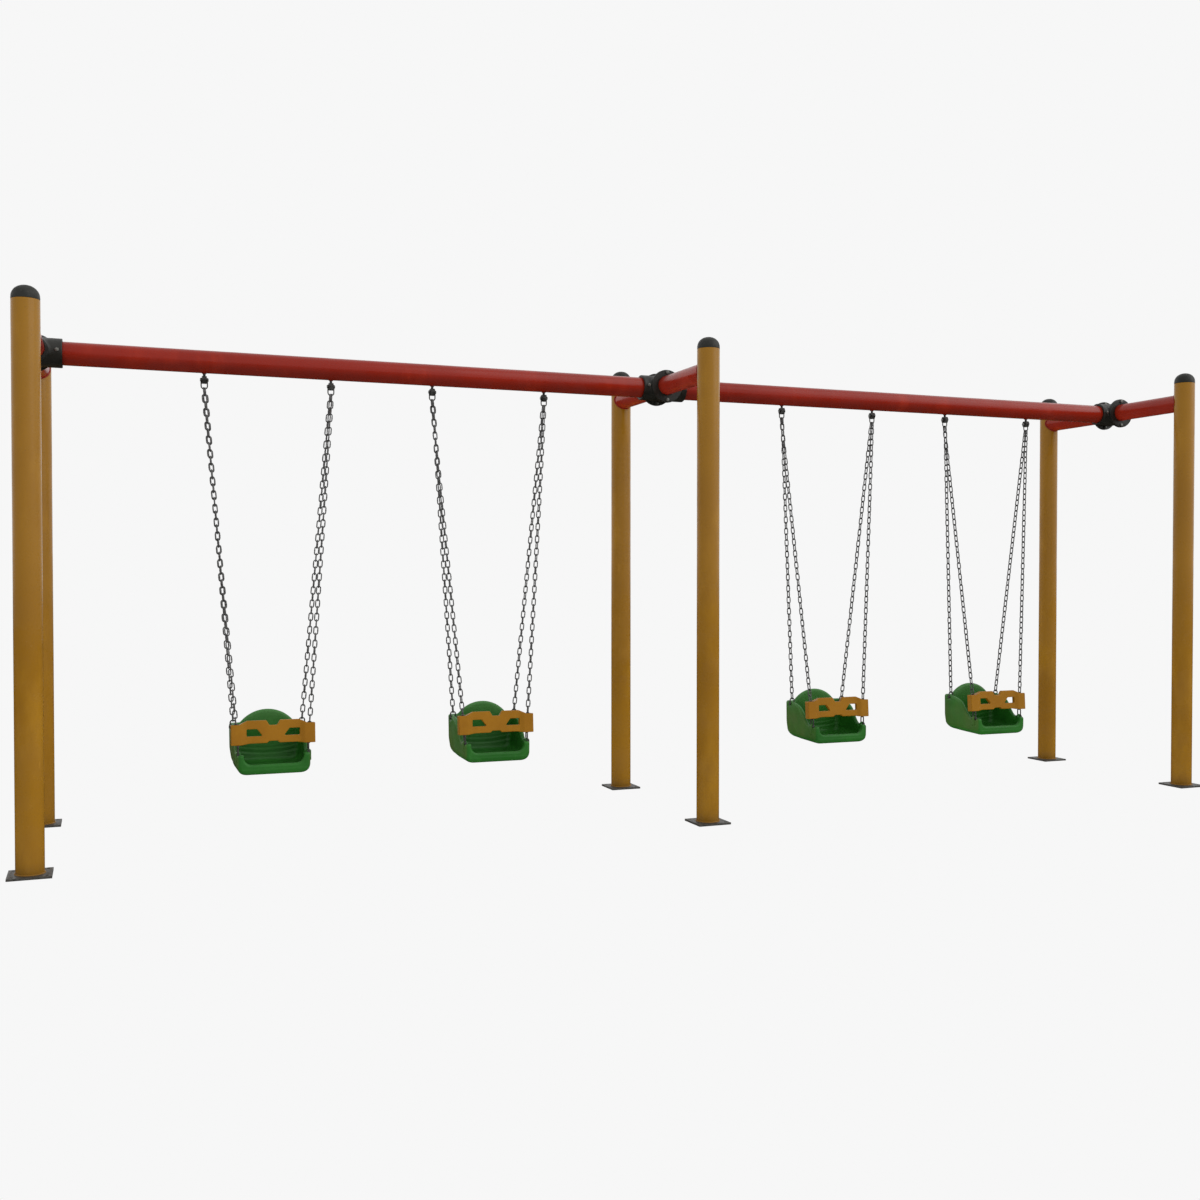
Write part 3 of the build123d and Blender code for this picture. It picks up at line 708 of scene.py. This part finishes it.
# ------------------------------------------------------------------ cross pipes, welded into the posts
for pair, px in PAIRS.items():
    segs = 112
    ang = np.arange(segs) * 2 * math.pi / segs
    rows = []
    for r, ends in ((CROSS_R, 1), (CROSS_R - 3.6, -1)):
        x, z = r * np.sin(ang), r * np.cos(ang)
        y = POST_Y - np.sqrt(POST_R**2 - x**2) + 0.3
        a = np.stack([px + x, -y, CROSS_Z + z], 1)
        c = np.stack([px + x, y, CROSS_Z + z], 1)
        rows += [a, c] if ends == 1 else [c, a]
    verts = np.vstack(rows)
    faces = []
    for j in range(4):
        for k in range(segs):
            q = (k + 1) % segs
            i = ((j + 1) % 4)
            faces.append((j * segs + k, i * segs + k, i * segs + q, j * segs + q))
    faces = [f[::-1] for f in faces]
    b = Build().add(verts, faces)
    for s in (-1, 1):
        x, z = (CROSS_R + 1.0) * np.sin(circle), (CROSS_R + 1.0) * np.cos(circle)
        y = s * (POST_Y - np.sqrt((POST_R + 1.2) ** 2 - x**2))
        p = np.stack([px + x, y, CROSS_Z + z], 1)
        ref = np.stack([np.zeros(336), np.full(336, 1.0), np.zeros(336)], 1)
        b.add(*bead(p, ref, 4.4, seed=px * 0.003 + s), mat=1)
    piece("cross_pipe_%s_coped" % pair, b, [M["cross"], M["weld_cross"]], "frame", ["cross_pipe_" + pair], sharp=35)

# ------------------------------------------------------------------ beams, with the welds of the hangers
for bay, x0, swings in (("left", -BAY, (0, 1)), ("right", 0.0, (2, 3))):
    lo, hi = x0 + 68.0, x0 + BAY - 68.0
    prof = soft_loop([(BEAM_R, lo), (BEAM_R, hi), (BEAM_R - 4, hi), (BEAM_R - 4, lo)], 0.8, 3)
    b = Build().add(*lathe(prof, "X", (0, 0, BEAM_Z), 112))
    small = np.arange(96) * 2 * math.pi / 96
    for i in swings:
        for s in (-1, 1):
            hx = HANG_X[i][0] + s * 300.0
            yy = 8.2 * np.sin(small)
            p = np.stack([hx + 8.2 * np.cos(small), yy, BEAM_Z - np.sqrt(BEAM_R**2 - yy**2) - 0.6], 1)
            b.add(*bead(p, (0, 0, 1), 2.9, pitch=3.4, seed=hx * 0.01), mat=1)
    piece("beam_%s_tube" % bay, b, [M["beam"], M["weld_beam"]], "frame", ["beam_" + bay], sharp=35)

# ------------------------------------------------------------------ cast fittings
FITTINGS = {"left": ((1,), 60.0, 84.0), "middle": ((-1, 1), 88.0, 88.0), "right": ((-1,), 88.0, 88.0)}
SCREW_X, FLANGE_T, FLANGE_BOLT_R = 102.0, 8.0, 74.0


def fitting_field(sides, r_front, r_rear):
    cz = CROSS_Z - 4

    def f(x, y, z):
        ry = np.sqrt(x**2 + (z - cz) ** 2)
        d = rmax(ry - 64.0, np.abs(y) - 69.5, 2.5)
        for y0, rr in ((-66.0, r_front), (66.0, r_rear)):
            d = smin(d, rmax(ry - rr, np.abs(y - y0) - 4.0, 1.6), 7.0)
        rx = np.sqrt(y**2 + (z - BEAM_Z) ** 2)
        for s in sides:
            u = s * x
            sock = rmax(rx - 67.0, np.maximum(u - 125.0, -u), 3.0)
            # stiffening web between the socket and the barrel flange
            d = smin(d, sock, 16.0)
        d = np.maximum(d, np.abs(y) - 70.0)
        rc = np.sqrt(x**2 + (z - CROSS_Z) ** 2)
        d = rmax(d, CROSS_R + 0.2 - rc, 0.8)
        for s in sides:
            d = rmax(d, np.minimum(np.maximum(rx - 54.2, 67.85 - s * x), 1e9) * -1.0, 1.0)
            ex = np.sqrt((s * x - SCREW_X) ** 2 + (z - BEAM_Z - 6) ** 2)
            d = np.maximum(d, -np.maximum(ex - 5.2, 40 - np.abs(y)))
        for y0, rr in ((-66.0, r_front), (66.0, r_rear)):
            if rr > FLANGE_BOLT_R + 8:
                for sz in (1, -1):
                    eb = np.sqrt(x**2 + (z - cz - sz * FLANGE_BOLT_R) ** 2)
                    d = np.maximum(d, -np.maximum(eb - 5.2, np.abs(y - y0) - 8))
        return d
    return f


bolts = Build()
for pair, (sides, r_front, r_rear) in FITTINGS.items():
    px = PAIRS[pair]
    lo = (-134.0 if -1 in sides else -92.0, -74.0, CROSS_Z - 96)
    hi = (134.0 if 1 in sides else 92.0, 74.0, CROSS_Z + 90)
    v, f = surface(fitting_field(sides, r_front, r_rear), lo, hi, 2.4)
    me = field_mesh("beam_fitting_%s_cast" % pair, v + np.array([px, 0, 0]), f, [M["casting"]], sharp=48)
    piece("beam_fitting_%s_cast" % pair, None, None, "frame", ["beam_fitting_" + pair], mesh=me)

    b = Build()
    for rr, out in ((r_front, -1), (r_rear, 1)):
        y0, y1 = sorted((out * 70.05, out * 78.0))
        prof = [(51.4, y0), (rr, y0), (rr, y1), (51.4, y1)]
        radii = [0.8, 0.6, 2.2, 1.6] if out == 1 else [1.6, 2.2, 0.6, 0.8]
        v, fc = lathe(soft_loop(prof, radii, 4), "Y", (px, 0, CROSS_Z - 4), 96)
        # the pipe sits 4 mm above the collar's middle: move the bore up to it
        dx, dz = v[:, 0] - px, v[:, 2] - (CROSS_Z - 4)
        rad = np.hypot(dx, dz)
        lift = np.clip((rr - rad) / (rr - 51.4), 0, 1) * 4.0
        v[:, 2] += lift
        b.add(v, fc)
        if rr > FLANGE_BOLT_R + 8:
            for sz in (1, -1):
                bz = CROSS_Z - 4 + sz * FLANGE_BOLT_R
                face, back = out * 78.0, out * 62.0
                bolts.add(*hexhead((px, face, bz), (0, out, 0), 18.4, 6.5, washer=10.4, spin=0.3 * px + sz))
                bolts.add(*shank((px, face, bz), (px, back - out * 11, bz), 4.9))
                bolts.add(*hexhead((px, back, bz), (0, -out, 0), 18.4, 8.0, spin=0.8 + sz))
    piece("fitting_collars_%s_rings" % pair, b, [M["casting"]], "frame", ["fitting_collars_" + pair], sharp=40)
    for s in sides:
        x = px + s * SCREW_X
        for out in (-1, 1):
            bolts.add(*hexhead((x, out * 67.2, BEAM_Z + 6), (0, out, 0), 17.2, 6.0, spin=0.4))
            bolts.add(*shank((x, out * 67.2, BEAM_Z + 6), (x, out * 54.3, BEAM_Z + 6), 4.9))
piece("fitting_bolts_zinc", bolts, [M["bolt"]], "frame", ["fitting_bolts"], sharp=32)

# ------------------------------------------------------------------ chains
HANG_DX, T_IN, TOP_SPLIT = 300.0, 2146.0, 3.4
FRONT_X, FRONT_Y, FRONT_CROWN, FRONT_PIN_Z = 165.0, -118.0, 443.4, 400.0
REAR_X, REAR_Y, REAR_CROWN = 167.0, 105.0, 537.4
LINK_W, WIRE = 25.0, 3.0
N_FRONT, N_REAR = 52, 49


def link(inner):
    """One welded link about its middle: along x, width in y."""
    r = (LINK_W - 2 * WIRE) / 2
    a = inner / 2 - (r - WIRE)
    pts, rad = [], []
    for k in range(4):
        x = -a + 2 * a * k / 4
        pts.append((x, -r, 0))
        rad.append(WIRE)
    for k in range(7):
        t = -math.pi / 2 + math.pi * k / 7
        pts.append((a + r * math.cos(t), r * math.sin(t), 0))
        rad.append(WIRE)
    # the side with the butt weld: a short swelling at its middle
    for u, w in ((1.0, 1.0), (0.30, 1.0), (0.16, 1.17), (0.0, 1.22), (-0.16, 1.17), (-0.30, 1.0)):
        pts.append((a * u, r, 0))
        rad.append(WIRE * w)
    for k in range(7):
        t = math.pi / 2 + math.pi * k / 7
        pts.append((-a + r * math.cos(t), r * math.sin(t), 0))
        rad.append(WIRE)
    return ring_tube(pts, (0, 0, 1), rad, 8)


def chain(build, top, low, count, seed):
    a, c = np.array(top, float), np.array(low, float)
    u = (c - a) / np.linalg.norm(c - a)
    pitch = np.linalg.norm(c - a) / count
    xd = np.array([1.0, 0, 0]) - u[0] * u
    xd /= np.linalg.norm(xd)
    yd = np.cross(u, xd)
    v, f = link(pitch + 0.3)
    rng = np.random.RandomState(seed)
    for k in range(count):
        w = yd if k % 2 == 0 else xd
        flip = 1 if rng.rand() > 0.5 else -1
        # links settle a few degrees off square
        tw = math.radians(rng.uniform(-7, 7)) if 0 < k < count - 1 else 0.0
        w1 = (w * math.cos(tw) + np.cross(u, w) * math.sin(tw)) * flip
        n1 = np.cross(u, w1)
        m = np.stack([u, w1, n1], 1)
        build.add(v @ m.T + a + u * pitch * (k + 0.5), f)


for xc, i in HANG_X:
    front, rear = Build(), Build()
    for s in (-1, 1):
        chain(front, (xc + s * (HANG_DX + TOP_SPLIT), 0, T_IN), (xc + s * FRONT_X, FRONT_Y, FRONT_CROWN), N_FRONT, i * 10 + s + 1)
        chain(rear, (xc + s * (HANG_DX - TOP_SPLIT), 0, T_IN), (xc + s * REAR_X, REAR_Y, REAR_CROWN), N_REAR, i * 10 + s + 5)
    piece("front_chains_swing_%d_links" % i, front, [M["chain"]], "swing_%d" % i, ["front_chains_swing_%d" % i], sharp=60)
    piece("rear_chains_swing_%d_links" % i, rear, [M["chain"]], "swing_%d" % i, ["rear_chains_swing_%d" % i], sharp=60)

# ------------------------------------------------------------------ seats
def mirrored(half):
    """Closed outline from its right half, listed from the bottom middle up."""
    return half + [(-x, z) for x, z in reversed(half) if x > 1e-6]


def taper(y, z):
    return 1 - 0.06 * (156 - y) / 318 - 0.045 * step(y, 10, 120) * (1 - step(z, 330, 415))


def seat_field():
    lo2, hi2 = (-230.0, 280.0), (230.0, 640.0)
    # front outline, outside and inside
    A = Field2D(mirrored([(130, 297)] + arc3((130, 297), (166, 312), (181, 349), 14) + [(183, 510), (183, 760)]), lo2, hi2)
    Ai = Field2D(mirrored([(112, 313)] + arc3((112, 313), (144, 327), (157, 364), 12) + [(158.5, 510), (159, 760)]), lo2, hi2)
    # side outline, outside and inside: the front lip is thick and slopes down to the pan
    B = Field2D([(-134, 297), (98, 298)] + arc3((98, 298), (140, 315), (156, 355), 14) + [(156, 760), (-161, 760), (-161, 332)]
                + arc3((-161, 332), (-154, 306), (-134, 297), 10)[:-1], lo2, hi2)
    Bi = Field2D([(-84, 316), (84, 313)] + arc3((84, 313), (119, 328), (130, 360), 12) + [(130, 760), (-132, 760), (-132, 356)]
                 + arc3((-132, 356), (-121, 330), (-84, 316), 10)[:-1], lo2, hi2)
    s_curve = [(-200, 400), (-150, 400), (-120, 400), (-92, 401.5), (-76, 406), (-62, 416), (-48, 432), (-34, 451),
               (-20, 470), (-4, 487), (16, 500), (40, 509.5), (66, 516), (92, 520), (120, 522), (230, 522)]
    T = Field2D([(230, 100), (-200, 100)][::-1] + s_curve[::-1], (-230.0, 280.0), (230.0, 700.0))
    dome = arc3((132, 522), (0, 587), (-132, 522), 40)
    D = Field2D([(-230, 100), (230, 100), (230, 522), (132, 522)] + dome + [(-230, 522)], lo2, (230.0, 700.0))
    back = Field2D([(-183, 200), (183, 200), (183, 522), (132, 522)] + dome + [(-183, 522)], lo2, (230.0, 700.0))
    mouth = Field2D(mirrored([(110, 352)] + arc3((110, 352), (137, 362), (148, 387), 12) + [(154, 425), (162, 800)]), lo2, (230.0, 700.0))

    def f(x, y, z):
        # the underside rises a little towards the back, where the side walls draw in
        xs = x / taper(y, z)
        z_true = z
        z = z - 10 * np.clip((y + 125) / 225, 0, 1) * (1 - step(z, 330, 430))
        a, b = A(xs, z), B(y, z)
        outer = rmax(a, b, 17.0)
        # shallow hollow in the underside
        tray = rmax(np.abs(xs) - 92.0, np.abs(y + 18) - 88.0, 16.0)
        outer = rmax(outer, -np.maximum(tray, z - 302.5), 2.5)
        ze = z - 15 * (xs / 140) ** 2
        rear = step(y, 10, 60)
        shelf = 3.5 * (1 - step(ze, 380, 394)) + 5.0 * (1 - step(ze, 352, 366))
        inset = -back(xs, z)
        recess = 3.5 * step(inset, 16, 62) * step(ze, 398, 430)
        bowl = rmax(Ai(xs, z), Bi(y + (shelf - recess) * rear, z), 26.0)
        wall = np.maximum(outer, -bowl)
        cap = smin(T(y, z), rmax(D(xs, z), 116.0 - y, 12.0), 10.0)
        cap = np.maximum(cap, -np.maximum(mouth(xs, z), y + 96.0))
        d = rmax(wall, cap, 11.8)
        z = z_true
        for sx in (-1, 1):
            xm = x - sx * FRONT_X
            tab = np.sqrt(xm**2 + np.maximum(z - FRONT_PIN_Z, 0) ** 2) - 13.0
            tab = rmax(np.maximum(tab, FRONT_PIN_Z - 42 - z), np.abs(y - FRONT_Y) - 9.0, 2.6)
            room = rmax(np.maximum(np.abs(xm) - 20.0, FRONT_PIN_Z - 11.5 - z), np.maximum(np.abs(y - FRONT_Y) - 18.5, 8.8 - np.abs(y - FRONT_Y)), 3.0)
            d = rmax(d, -room, 3.0)
            d = smin(d, tab, 5.0)
            d = np.maximum(d, -(np.sqrt(xm**2 + (z - FRONT_PIN_Z) ** 2) - 4.3) - 1e9 * (np.abs(y - FRONT_Y) > 24))
            xr = x - sx * REAR_X
            ear = np.sqrt((y - REAR_Y) ** 2 + np.maximum(z - 508.0, 0) ** 2) - 13.0
            ear = rmax(np.maximum(ear, 470 - z), np.abs(xr) - 9.0, 2.6)
            room = rmax(np.maximum(np.abs(y - REAR_Y) - 17.0, 494.5 - z), np.maximum(np.abs(xr) - 22.0, 8.8 - np.abs(xr)), 3.0)
            d = rmax(d, -room, 3.0)
            d = smin(d, ear, 5.0)
            d = np.maximum(d, -(np.sqrt((y - REAR_Y) ** 2 + (z - 508.0) ** 2) - 4.3) - 1e9 * (np.abs(xr) > 24))
        return d
    return f


seat_v, seat_f = surface(seat_field(), (-192.0, -168.0, 291.0), (192.0, 163.0, 594.0), 3.2)
wide = np.abs(seat_v[:, 0]) / taper(seat_v[:, 1], seat_v[:, 2])
# where the painted reflection lies: the outer side walls, weaker at the top and the bottom
outside = step(wide, 171, 179) * (1 - 0.6 * step(seat_v[:, 2], 430, 520)) * (0.35 + 0.65 * step(seat_v[:, 2], 300, 350))
# painted light on the top of the seat back, rising with height
painted_top_light = step(seat_v[:, 2], 455, 565)
for xc, i in HANG_X:
    me = field_mesh("seat_swing_%d_moulded" % i, seat_v + np.array([xc, 0, 0]), seat_f, [M["seat"]])
    me.attributes.new("outside", "FLOAT", "POINT").data.foreach_set("value", outside.astype(np.float32))
    me.attributes.new("painted_top_light", "FLOAT", "POINT").data.foreach_set("value", painted_top_light.astype(np.float32))
    piece("seat_swing_%d_moulded" % i, None, None, "swing_%d" % i, ["seat_swing_%d" % i], mesh=me)

# ------------------------------------------------------------------ guard bars
LEAN = math.atan2(-FRONT_Y, T_IN - FRONT_CROWN)
FLARE = (HANG_DX + TOP_SPLIT - FRONT_X) / math.hypot(FRONT_Y, T_IN - FRONT_CROWN)


def bar_field():
    outline = [(-197, 0), (-150, 0), (-110, 6), (-30, 6), (-20, 15), (20, 15), (30, 6), (110, 6), (150, 0), (197, 0),
               (197, 97), (160, 97), (122, 115), (33, 115), (18, 91), (-18, 91), (-33, 115), (-122, 115), (-160, 97), (-197, 97)]
    lo2, hi2 = (-210.0, -14.0), (210.0, 130.0)
    face = Field2D(soft_loop(outline, 3.0, 3), lo2, hi2, 0.6)
    window = Field2D(soft_loop([(50, 40), (125, 40), (125, 74), (76, 74)], 3.5, 4), lo2, hi2, 0.6)
    lo_in, lo_out = 165 - LINK_W / 2 - 1.2 - 4 * FLARE, 165 + LINK_W / 2 + 1.2 + 60 * FLARE

    def f(u, v, w):
        au = np.abs(u)
        # the bar thickens smoothly towards its ends
        half = 11.0 + 9.5 * step(au, 122, 152)
        d = rmax(rmax(face(u, v), np.abs(w) - half, 3.4), -window(au, v), 2.6)
        slot = np.maximum(np.maximum(lo_in + v * FLARE - au, au - lo_out - v * FLARE), np.abs(w) - 14.0)
        return rmax(d, -slot, 1.6)
    return f


bu, bf = surface(bar_field(), (-200.0, -4.0, -24.0), (200.0, 119.0, 24.0), 2.2)
cl, sl = math.cos(LEAN), math.sin(LEAN)
for xc, i in HANG_X:
    # u along X, v up along the chains, w to the front
    v = np.stack([xc + bu[:, 0], FRONT_Y + bu[:, 1] * sl - bu[:, 2] * cl, FRONT_CROWN + bu[:, 1] * cl + bu[:, 2] * sl], 1)
    me = field_mesh("guard_bar_swing_%d_moulded" % i, v, bf, [M["guard"]])
    piece("guard_bar_swing_%d_moulded" % i, None, None, "guard_%d" % i, ["guard_bar_swing_%d" % i], mesh=me)

# ------------------------------------------------------------------ CAD nodes that keep their shape
KEEP = {"hanger_blocks": "hanger", "pivot_pins": "pin", "hanger_shackles": "shackle", "seat_shackles": "shackle",
        "pivot_bushes": "bush"}
for name, ob in nodes.items():
    for head, slot_name in KEEP.items():
        if name.startswith(head):
            ob.data.materials.clear()
            ob.data.materials.append(M[slot_name])

# ------------------------------------------------------------------ floor, light, surroundings
me = bpy.data.meshes.new("floor")
R = 2000.0
me.from_pydata([(-R, -R, 0), (R, -R, 0), (R, R, 0), (-R, R, 0)], [], [(0, 1, 2, 3)])
floor = bpy.data.objects.new("floor", me)
scene.collection.objects.link(floor)
fm = bpy.data.materials.new("floor_pale")
fm.use_nodes = True
fm.node_tree.nodes.clear()
fe = fm.node_tree.nodes.new("ShaderNodeEmission")
fe.inputs["Color"].default_value = (0.93, 0.93, 0.93, 1)
fo = fm.node_tree.nodes.new("ShaderNodeOutputMaterial")
fm.node_tree.links.new(fe.outputs[0], fo.inputs[0])
fm.cycles.emission_sampling = "NONE"
me.materials.append(fm)
floor.visible_glossy = False

world = bpy.data.worlds.new("studio")
scene.world = world
world.use_nodes = True
wn = world.node_tree
wn.nodes.clear()
wo = wn.nodes.new("ShaderNodeOutputWorld")
bg = wn.nodes.new("ShaderNodeBackground")
tc = wn.nodes.new("ShaderNodeTexCoord")
sp = wn.nodes.new("ShaderNodeSeparateXYZ")
rp = wn.nodes.new("ShaderNodeValToRGB")
mr = wn.nodes.new("ShaderNodeMapRange")
mr.inputs["From Min"].default_value = -0.030
mr.inputs["From Max"].default_value = -0.002
wn.links.new(tc.outputs["Generated"], sp.inputs[0])
wn.links.new(sp.outputs[2], mr.inputs["Value"])
wn.links.new(mr.outputs["Result"], rp.inputs["Fac"])
rp.color_ramp.elements[0].color = (0.035, 0.028, 0.016, 1)
rp.color_ramp.elements[1].color = (0.93, 0.93, 0.93, 1)


def world_range(src, a, b, lo, hi):
    n = wn.nodes.new("ShaderNodeMapRange")
    n.interpolation_type = "SMOOTHSTEP"
    for k, v in zip(("From Min", "From Max", "To Min", "To Max"), (a, b, lo, hi)):
        n.inputs[k].default_value = v
    wn.links.new(src, n.inputs["Value"])
    return n.outputs["Result"]


# behind and beside the set the sky is dimmer on the left and brighter on the right
side = world_range(sp.outputs[0], -0.9, 0.9, 0.74, 1.26)
away = world_range(sp.outputs[1], 0.10, 0.58, 1.0, 0.0)
dev = wn.nodes.new("ShaderNodeMath")
dev.operation = "SUBTRACT"
wn.links.new(side, dev.inputs[0])
dev.inputs[1].default_value = 1.0
gain = wn.nodes.new("ShaderNodeMath")
gain.operation = "MULTIPLY_ADD"
wn.links.new(dev.outputs[0], gain.inputs[0])
wn.links.new(away, gain.inputs[1])
gain.inputs[2].default_value = 1.0
wn.links.new(rp.outputs["Color"], bg.inputs["Color"])
wn.links.new(gain.outputs[0], bg.inputs["Strength"])
# the backdrop itself is one plain pale tone from every side
drop = wn.nodes.new("ShaderNodeBackground")
drop.inputs["Color"].default_value = (0.93, 0.93, 0.93, 1)
ray = wn.nodes.new("ShaderNodeLightPath")
pick = wn.nodes.new("ShaderNodeMixShader")
wn.links.new(ray.outputs["Is Camera Ray"], pick.inputs[0])
wn.links.new(bg.outputs[0], pick.inputs[1])
wn.links.new(drop.outputs[0], pick.inputs[2])
wn.links.new(pick.outputs[0], wo.inputs[0])

sun_data = bpy.data.lights.new("key", "SUN")
sun_data.energy = 0.6
sun_data.angle = math.radians(50)
sun = bpy.data.objects.new("key", sun_data)
scene.collection.objects.link(sun)
sun.rotation_euler = Vector((-0.62, 0.50, -0.60)).to_track_quat("-Z", "Y").to_euler()

scene.view_settings.view_transform = "Standard"
scene.view_settings.look = "None"

bpy.context.view_layer.update()


def plain(b):
    return [[float(x) for x in corner] for corner in b]
